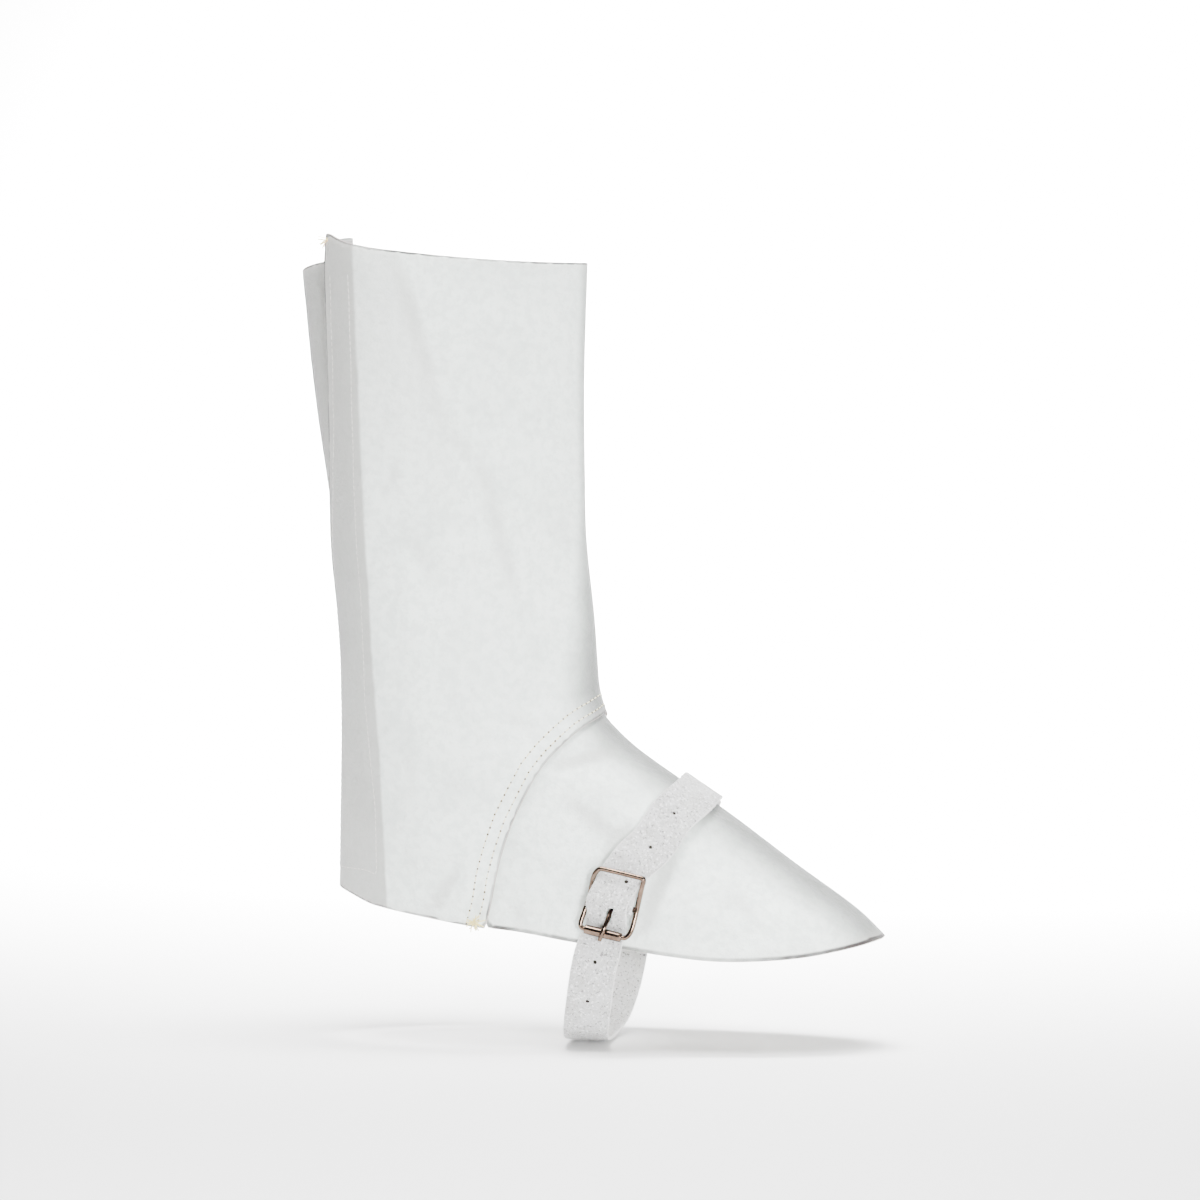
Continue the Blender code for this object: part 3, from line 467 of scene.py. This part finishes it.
def nickel():
    """Polished nickel on steel wire, a little scuffed, in dark browns that are painted reflection of brown
    surroundings.
    """
    metal = Finish("nickel", Metallic=1.0)
    scuff = metal.noise(700.0, 4.0, 0.7)
    painted_reflection_patch = metal.steps(metal.noise(130.0, 3.0), 0.35, 0.65)
    # Painted reflection: two dark browns in patches
    base = metal.blend(painted_reflection_patch, colour(96, 76, 62), colour(60, 41, 30))
    metal.feed("Base Color", metal.blend(scuff * 0.2, base, colour(170, 160, 150)))
    metal.feed("Roughness", 0.13 + metal.steps(scuff, 0.45, 0.8) * 0.15)
    metal.relief(metal.noise(400.0, 2.0), 0.08, 0.0002)
    return metal.material


# Meshes
def link(name, mesh):
    piece = bpy.data.objects.new(name, mesh)
    bpy.context.scene.collection.objects.link(piece)
    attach(piece, "root")
    return piece


def from_shape(name, shape, *finishes):
    mesh = bpy.data.meshes.new(name)
    shape.to_mesh(mesh)
    shape.free()
    for finish in finishes:
        mesh.materials.append(finish)
    mesh.shade_smooth()
    return link(name, mesh)


def apply_modifiers(piece):
    """Puts what the modifiers make into the piece's own mesh."""
    graph = bpy.context.evaluated_depsgraph_get()
    made = bpy.data.meshes.new_from_object(piece.evaluated_get(graph))
    piece.modifiers.clear()
    piece.data = made


def subdivide(piece, levels):
    smooth = piece.modifiers.new("smooth", "SUBSURF")
    smooth.levels = smooth.render_levels = levels
    apply_modifiers(piece)


def regions_of(shape):
    """Faces in groups that meet at less than the rim's angle, the largest group first."""
    left, groups = set(shape.faces), []
    while left:
        seed = min(left, key=lambda face: face.index)
        group, front = {seed}, [seed]
        while front:
            face = front.pop()
            for edge in face.edges:
                for other in edge.link_faces:
                    if other not in group and edge.calc_face_angle(0.0) < RIM_ANGLE:
                        group.add(other)
                        front.append(other)
        left -= group
        groups.append(group)
    return sorted(groups, key=lambda group: -sum(face.calc_area() for face in group))


def solid_copy(node):
    """The node's solid as a welded mesh of four-sided faces."""
    shape = bmesh.new()
    shape.from_mesh(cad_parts[node].data)
    bmesh.ops.remove_doubles(shape, verts=shape.verts, dist=WELD)
    bmesh.ops.join_triangles(shape, faces=shape.faces, angle_face_threshold=JOIN_ANGLE,
                             angle_shape_threshold=JOIN_SHAPE)
    shape.faces.index_update()
    return shape


def crease_rims(shape, rim):
    """Marks the rim's edges and the sharp ones, so that subdivision leaves the wall its thickness there."""
    weight = shape.edges.layers.float.get("crease_edge") or shape.edges.layers.float.new("crease_edge")
    for edge in shape.edges:
        at_rim = len({face in rim for face in edge.link_faces}) == 2
        if at_rim or edge.calc_face_angle(0.0) > RIM_ANGLE:
            edge[weight] = CREASE


def line_relief(point, table):
    """How far the creases of a table lift the surface at a point, in metres."""
    total = 0.0
    for side, x_start, z_start, x_end, z_end, spread, depth in table:
        if point.y * side <= 0.0:
            continue
        start = Vector((x_start, z_start)) * MM
        line = Vector((x_end, z_end)) * MM - start
        place = Vector((point.x, point.z)) - start
        share = min(1.0, max(0.0, place.dot(line) / line.length_squared))
        distance = (place - line * share).length / (spread * MM)
        total += depth * MM * math.exp(-distance ** 2) * (0.5 + 0.5 * math.sin(math.pi * share))
    return total


def bend_lift(point):
    """How far the panel stands out where it bends over the closure, in metres."""
    bend = BENDS[NEAR if point.y < 0.0 else FAR]
    ahead = point.x / MM - bend.foot_x - bend.slope * (point.z / MM - bend.foot_z)
    shifts = (-BEND_ROUNDING, 0.0, BEND_ROUNDING)
    total = 0.0
    for shift in shifts:
        for (start, low), (end, high) in zip(bend.profile, bend.profile[1:]):
            if start <= ahead + shift < end:
                total += low + (high - low) * (ahead + shift - start) / (end - start)
    return total / len(shifts) * MM


def waviness(point, size, height):
    """A slow unevenness of hand-worked leather."""
    a, b, c = (2 * math.pi * v / size for v in point)
    return height * (math.sin(a + 1.7 * math.sin(b)) + math.sin(1.3 * c + 0.8 * math.sin(a)) * 0.8) / 2


def mark_points(piece, name, values):
    piece.data.attributes.new(name, "FLOAT", "POINT").data.foreach_set("value", values)


def mark_edge_distance(piece, width):
    """Gives every vertex its distance to the cut line between the face and the rim, in line widths."""
    mesh = piece.data
    sides = {}
    for face in mesh.polygons:
        for key in face.edge_keys:
            sides.setdefault(key, set()).add(face.material_index == 1)
    places = []
    for (start, end), kinds in sides.items():
        if len(kinds) == 2:
            a, b = mesh.vertices[start].co, mesh.vertices[end].co
            places += [a.lerp(b, k / EDGE_SAMPLES) for k in range(EDGE_SAMPLES)]
    tree = KDTree(len(places))
    for index, place in enumerate(places):
        tree.insert(place, index)
    tree.balance()
    mark_points(piece, "edge_distance", [tree.find(vertex.co)[2] / width for vertex in mesh.vertices])


def leather_piece(name, node, table, finishes, levels=2, bent=False):
    """A thin shell on the node's form, with soft rims, fine creases, and finishes for face, edge and back."""
    shape = solid_copy(node)
    outer = regions_of(shape)[0]
    rim = {other for face in outer for edge in face.edges for other in edge.link_faces} - outer
    crease_rims(shape, rim)
    for face in shape.faces:
        face.material_index = 0 if face in outer else 1 if face in rim else 2
    piece = from_shape(name, shape, *finishes)
    subdivide(piece, levels)
    hollows = []
    for vertex in piece.data.vertices:
        outward = Vector((0.0, math.copysign(1.0, vertex.co.y), 0.0))
        lift = line_relief(vertex.co, table)
        # Each crease's depth, kept for the painted shade in its hollow
        hollows.append(-lift / MM)
        lift += sum(waviness(vertex.co, size, height) for size, height in WAVES)
        if bent:
            lift += bend_lift(vertex.co)
        vertex.co += outward * lift * min(1.0, abs(vertex.co.y) / RELIEF_FADE)
    mark_points(piece, "hollow", hollows)
    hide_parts(node)
    return piece


def smooth_piece(name, node, finish, levels=2):
    """The node's own form with soft edges, in one finish, with what the smoothing takes off put back."""
    shape = solid_copy(node)
    crease_rims(shape, set())
    piece = from_shape(name, shape, finish)
    subdivide(piece, levels)
    swollen = [vertex.co + vertex.normal * SWELL for vertex in piece.data.vertices]
    for vertex, place in zip(piece.data.vertices, swollen):
        vertex.co = place
    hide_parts(node)
    return piece


def outer_edge_loop(node):
    """The line round the outer face of a cloth node, in order: place, inward direction and normal."""
    shape = solid_copy(node)
    outer = regions_of(shape)[0]
    following = {}
    for face in outer:
        for loop in face.loops:
            if loop.link_loop_radial_next.face not in outer:
                following[loop.vert] = (loop.link_loop_next.vert, face.normal.copy())
    vertex = start = next(iter(following))
    points = []
    while True:
        after, normal = following[vertex]
        points.append(EdgePoint(vertex.co.copy(), normal.cross(after.co - vertex.co).normalized(), normal))
        vertex = after
        if vertex is start:
            break
    shape.free()
    return points


def stamped(name, template, matrices, finish):
    """Copies of a small shape under each matrix, as one piece."""
    places = [vertex.co.copy() for vertex in template.verts]
    template.verts.index_update()
    corners = [[vertex.index for vertex in face.verts] for face in template.faces]
    template.free()
    vertices, faces = [], []
    for matrix in matrices:
        first = len(vertices)
        vertices += [matrix @ place for place in places]
        faces += [[first + index for index in face] for face in corners]
    mesh = bpy.data.meshes.new(name)
    mesh.from_pydata(vertices, [], faces)
    mesh.materials.append(finish)
    mesh.shade_smooth()
    return link(name, mesh)


def surface_tree(piece):
    return BVHTree.FromObject(piece, bpy.context.evaluated_depsgraph_get())


def turned_to(direction):
    """The turn that points the Z axis along a direction."""
    return direction.to_track_quat("Z", "Y").to_matrix().to_4x4()


# Stage
def aimed(thing, direction):
    """Points a camera or a lamp along a direction."""
    thing.rotation_mode = "QUATERNION"
    thing.rotation_quaternion = direction.to_track_quat("-Z", "Y")


def add_camera():
    data = bpy.data.cameras.new("camera")
    data.sensor_width = SENSOR
    data.lens = SENSOR * CAMERA_DISTANCE / FRAME_WIDTH
    data.clip_start, data.clip_end = CAMERA_CLIP
    camera = bpy.data.objects.new("camera", data)
    bpy.context.scene.collection.objects.link(camera)
    back = Vector((math.sin(CAMERA_TURN), -math.cos(CAMERA_TURN), 0.0))
    camera.location = CAMERA_TARGET + back * CAMERA_DISTANCE
    aimed(camera, -back)
    bpy.context.scene.camera = camera


def add_floor():
    """A pale floor that sweeps up into a backdrop behind the piece."""
    level = cad_low.z - FLOOR_CLEARANCE
    profile = [(FLOOR_FRONT, level)]
    for step in range(SWEEP_STEPS + 1):
        angle = math.pi / 2 * step / SWEEP_STEPS
        profile.append((SWEEP_START + SWEEP_RADIUS * math.sin(angle),
                        level + SWEEP_RADIUS * (1 - math.cos(angle))))
    profile.append((SWEEP_START + SWEEP_RADIUS, BACKDROP_TOP))
    shape = bmesh.new()
    bmesh.ops.create_grid(shape, x_segments=1, y_segments=len(profile) - 1, size=1.0)
    rows = sorted(shape.verts, key=lambda vertex: (round(vertex.co.y, 4), vertex.co.x))
    for index, vertex in enumerate(rows):
        depth, height = profile[index // 2]
        vertex.co = (math.copysign(FLOOR_HALF_WIDTH, vertex.co.x), depth, height)
    mesh = bpy.data.meshes.new("floor")
    shape.to_mesh(mesh)
    shape.free()
    mesh.shade_smooth()
    pale = Finish("pale_floor", Roughness=0.9, Specular_IOR_Level=0.1)
    pale.feed("Base Color", pale.blend(pale.noise(3.0), colour(250, 250, 250), colour(247, 247, 247)))
    mesh.materials.append(pale.material)
    floor = bpy.data.objects.new("floor", mesh)
    bpy.context.scene.collection.objects.link(floor)


def add_lights():
    for lamp in LAMPS:
        data = bpy.data.lights.new(lamp.name, "AREA")
        data.shape = "DISK"
        data.size = lamp.size
        data.energy = lamp.power
        data.spread = math.radians(lamp.spread)
        light = bpy.data.objects.new(lamp.name, data)
        bpy.context.scene.collection.objects.link(light)
        light.location = lamp.place
        aimed(light, Vector(lamp.aim) - Vector(lamp.place))
    world = bpy.data.worlds.new("studio")
    world.use_nodes = True
    background = world.node_tree.nodes["Background"]
    background.inputs["Color"].default_value = (1.0, 1.0, 1.0, 1.0)
    background.inputs["Strength"].default_value = STUDIO_STRENGTH
    bpy.context.scene.world = world


# Sewing
def snapped(tree, point):
    """The place and normal of the surface nearest to a point."""
    return tree.find_nearest(point)[:2]


def resample(points, pitch):
    """Points at an even pitch along a line."""
    result, need = [points[0].copy()], pitch
    for before, after in zip(points, points[1:]):
        length = (after - before).length
        while need <= length:
            result.append(before.lerp(after, need / length))
            need += pitch
        need -= length
    return result


def ball():
    shape = bmesh.new()
    bmesh.ops.create_uvsphere(shape, u_segments=8, v_segments=5, radius=1.0,
                              matrix=Matrix.Rotation(math.pi / 2, 4, "Y"))
    return shape


def bead(place, along, normal, size):
    """The matrix of an oval bead that lies along a direction on the cloth."""
    turn = Matrix((along, normal.cross(along), normal)).transposed().to_4x4()
    return Matrix.Translation(place) @ turn @ Matrix.Diagonal((*size, 1.0))


def add_row(threads, pits, tree, line, pitch, pit, dice):
    """A row of stitches along a line on the cloth, with a pit between each two."""
    places = resample(line, pitch)
    for before, after in zip(places, places[1:]):
        middle, normal = snapped(tree, before.lerp(after, 0.5))
        along = after - before
        along = (along - normal * along.dot(normal)).normalized()
        length = (pitch - pit) * dice.uniform(0.8, 1.0) / 2
        threads.append(bead(middle, along, normal, (length, THREAD, THREAD * THREAD_FLATNESS)))
        hole, normal = snapped(tree, before + along * pit * dice.uniform(-0.4, 0.4))
        size = pit * dice.uniform(0.8, 1.15)
        pits.append(bead(hole, along, normal, [size * share for share in PIT_SHAPE]))


def shifted(tree, points, distance):
    """The points moved inward and seen from outside, so that they lie on the outer face."""
    line = []
    for point in points:
        start = point.place + point.inward * distance + point.normal * VIEW_REACH
        hit = tree.ray_cast(start, -point.normal, 2 * VIEW_REACH)[0]
        if hit is not None:
            line.append(hit)
    return line


def pick(points, test):
    """The longest unbroken run of the loop whose places pass a test."""
    count = len(points)
    passed = [test(point.place) for point in points]
    best = (0, 0)
    for start in range(count):
        if passed[start] and not passed[start - 1]:
            length = 0
            while passed[(start + length) % count] and length < count:
                length += 1
            best = max(best, (length, start))
    return [points[(best[1] + i) % count] for i in range(best[0])]


def sew(name, tree, line, rows, pitch, pit_size, seed, thread, pit):
    """Rows of stitches and their needle holes, beside an edge."""
    threads, pits = [], []
    dice = random.Random(seed)
    for distance in rows:
        add_row(threads, pits, tree, shifted(tree, line, distance), pitch, pit_size, dice)
    for part, places, finish in (("_stitches", threads, thread), ("_needle_holes", pits, pit)):
        stamped(name + part, ball(), places, finish)


def strands(name, lines, radius, finish):
    """Thin round strands through points, as one mesh."""
    curve = bpy.data.curves.new(name, "CURVE")
    curve.dimensions = "3D"
    curve.bevel_depth = radius
    curve.bevel_resolution = 1
    curve.use_fill_caps = True
    for line in lines:
        spline = curve.splines.new("NURBS")
        spline.points.add(len(line) - 1)
        for place, point in zip(spline.points, line):
            place.co = (*point, 1.0)
        spline.use_endpoint_u = True
        spline.order_u = 3
        spline.resolution_u = 3
    guide = bpy.data.objects.new(name, curve)
    bpy.context.scene.collection.objects.link(guide)
    graph = bpy.context.evaluated_depsgraph_get()
    mesh = bpy.data.meshes.new_from_object(guide.evaluated_get(graph))
    bpy.data.objects.remove(guide, do_unlink=True)
    mesh.name = name
    mesh.materials.clear()
    mesh.materials.append(finish)
    mesh.shade_smooth()
    return link(name, mesh)


def jitter(dice, reach):
    return Vector([dice.uniform(-reach, reach) for _ in range(3)])


def loose_ends(root, way, spread, length, count, seed):
    """Wandering thread ends from one place."""
    dice = random.Random(seed)
    lines = []
    for _ in range(count):
        heading = (Vector(way) + jitter(dice, spread)).normalized()
        point = root + jitter(dice, 0.6) * MM
        line = [point.copy()]
        for _ in range(4):
            heading = (heading + jitter(dice, 0.35)).normalized()
            point = point + heading * length * dice.uniform(0.15, 0.3)
            line.append(point.copy())
        lines.append(line)
    return lines


# Strap
def fuzz(name, piece, index, count, length, finish, seed):
    """Short fibres that stand out of a piece's faces of one finish."""
    mesh = piece.data
    dice = random.Random(seed)
    chosen = [face for face in mesh.polygons if face.material_index == index]
    weights = [face.area for face in chosen]
    matrices = []
    for face in dice.choices(chosen, weights, k=count):
        corners = [mesh.vertices[i].co for i in face.vertices]
        share, across = dice.random(), dice.random()
        place = corners[0].lerp(corners[1], share).lerp(corners[-1].lerp(corners[-2], share), across)
        turn = turned_to((face.normal + jitter(dice, 0.9)).normalized())
        reach = Matrix.Diagonal((1.0, 1.0, length * dice.uniform(0.35, 1.0), 1.0))
        matrices.append(Matrix.Translation(place) @ turn @ reach)
    fibre = bmesh.new()
    bmesh.ops.create_cone(fibre, segments=3, radius1=FIBRE, radius2=FIBRE * 0.4, depth=1.0,
                          matrix=Matrix.Translation((0.0, 0.0, 0.45)))
    return stamped(name, fibre, matrices, finish)


def hole_places(tree):
    """The strap holes' places and normals on the face that shows on the near side."""
    across = Vector((0.0, 1.0, 0.0))
    return [tree.ray_cast(Vector(centre) * MM - across * HOLE_REACH, across)[:2] for centre in HOLE_CENTRES]


def punch(piece, places):
    """Cuts the round strap holes through the outer layer at their places."""
    for index, (place, normal) in enumerate(places):
        shape = bmesh.new()
        bmesh.ops.create_cone(shape, cap_ends=True, segments=HOLE_SIDES, radius1=HOLE_RADIUS,
                              radius2=HOLE_RADIUS, depth=HOLE_DEPTH,
                              matrix=Matrix.Translation(place) @ turned_to(normal))
        mesh = bpy.data.meshes.new("hole")
        shape.to_mesh(mesh)
        shape.free()
        cutter = bpy.data.objects.new("hole_%d" % index, mesh)
        bpy.context.scene.collection.objects.link(cutter)
        hole = piece.modifiers.new("hole", "BOOLEAN")
        hole.object = cutter
        hole.solver = "EXACT"
        apply_modifiers(piece)
        bpy.data.objects.remove(cutter, do_unlink=True)


def hole_floors(places, finish):
    """Dark discs a little inside the strap's holes: painted shade for what lies behind them."""
    matrices = [Matrix.Translation(place - normal * HOLE_SHADE_DEPTH) @ turned_to(normal)
                for place, normal in places]
    disc = bmesh.new()
    bmesh.ops.create_circle(disc, cap_ends=True, segments=HOLE_SIDES, radius=HOLE_RADIUS * 1.02)
    return stamped("hole_floors", disc, matrices, finish)


# The gaiter
def add_leather():
    leather, edge, flesh = split_leather(), cut_edge(), flesh_side()
    leg = leather_piece("leg_leather", "leg_panel", LEG_CREASES, (leather, edge, flesh), bent=True)
    vamp = leather_piece("vamp_leather", "vamp", VAMP_CREASES, (leather, edge, flesh))
    for piece, width in ((leg, LEG_LINE), (vamp, VAMP_LINE)):
        mark_edge_distance(piece, width)
    return leg


def add_strap():
    face = suede("strap_suede", colour(204, 204, 203), colour(180, 179, 177))
    back = suede("strap_suede_back", colour(238, 238, 237), colour(220, 219, 217))
    edge = suede_edge()
    strap = leather_piece("strap_suede", "strap", (), (face, edge, back))
    holes = hole_places(surface_tree(strap))
    punch(strap, holes)
    shade = shaded_hole("strap_hole", colour(62, 58, 54), colour(42, 39, 36))
    # Painted shade inside the strap's holes
    hole_floors(holes, shade)
    fuzz("strap_edge_fuzz", strap, 1, 2200, 0.9 * MM, edge, 5)
    fuzz("strap_face_fuzz", strap, 0, 4200, 0.7 * MM, edge, 6)


def add_tapes():
    tape = woven_tape()
    for node, flat, area in TAPES:
        piece = leather_piece(node + "_weave", node, LEG_CREASES, (tape, tape, tape), levels=1, bent=True)


def add_buckle():
    metal = nickel()
    for node in ("buckle_frame", "buckle_roller", "buckle_prong"):
        smooth_piece(node + "_polished", node, metal)


def add_sewing(leg):
    tree = surface_tree(leg)
    seam = pick(outer_edge_loop("leg_panel"), lambda place: place.z < SEAM_TOP and place.x > SEAM_REAR)
    thread = sewing_thread("pale_yellow_thread", colour(238, 234, 206), colour(222, 214, 172))
    pit = shaded_hole("needle_hole", colour(112, 104, 90), colour(84, 76, 64))
    sew("seam", tree, seam, SEAM_ROWS, SEAM_PITCH, SEAM_PIT, 11, thread, pit)
    sewn = pick(outer_edge_loop("hook_tape"), lambda place: place.z < TAPE_SEWN_TOP)
    thread = sewing_thread("white_thread", colour(208, 207, 202), colour(190, 189, 184))
    pit = shaded_hole("faint_needle_hole", colour(196, 194, 186), colour(182, 180, 172))
    sew("tape", tree, sewn, TAPE_ROWS, TAPE_PITCH, TAPE_PIT, 12, thread, pit)


def add_thread_ends(leg):
    yellow = sewing_thread("yellow_thread", colour(234, 222, 158), colour(204, 188, 116))
    orange = sewing_thread("orange_thread", colour(236, 190, 140), colour(214, 160, 108))
    top_corner = max((vertex.co for vertex in leg.data.vertices), key=lambda place: place.z)
    corner = top_corner + CORNER_INSET
    ends = (
        ("corner_thread_ends", loose_ends(corner, (-0.8, -0.2, -0.35), 0.4, 7 * MM, 8, 3), 0.22, yellow),
        ("corner_orange_ends", loose_ends(corner, (-0.8, -0.2, -0.1), 0.3, 7 * MM, 2, 8), 0.20, orange),
        ("seam_knot", loose_ends(SEAM_KNOT, (-0.2, -0.6, -0.2), 0.9, 4.6 * MM, 26, 4), 0.26, yellow),
    )
    for name, lines, radius, finish in ends:
        strands(name, lines, radius * MM, finish)


add_camera()
add_floor()
add_lights()
leg = add_leather()
add_strap()
add_tapes()
add_buckle()
add_sewing(leg)
add_thread_ends(leg)
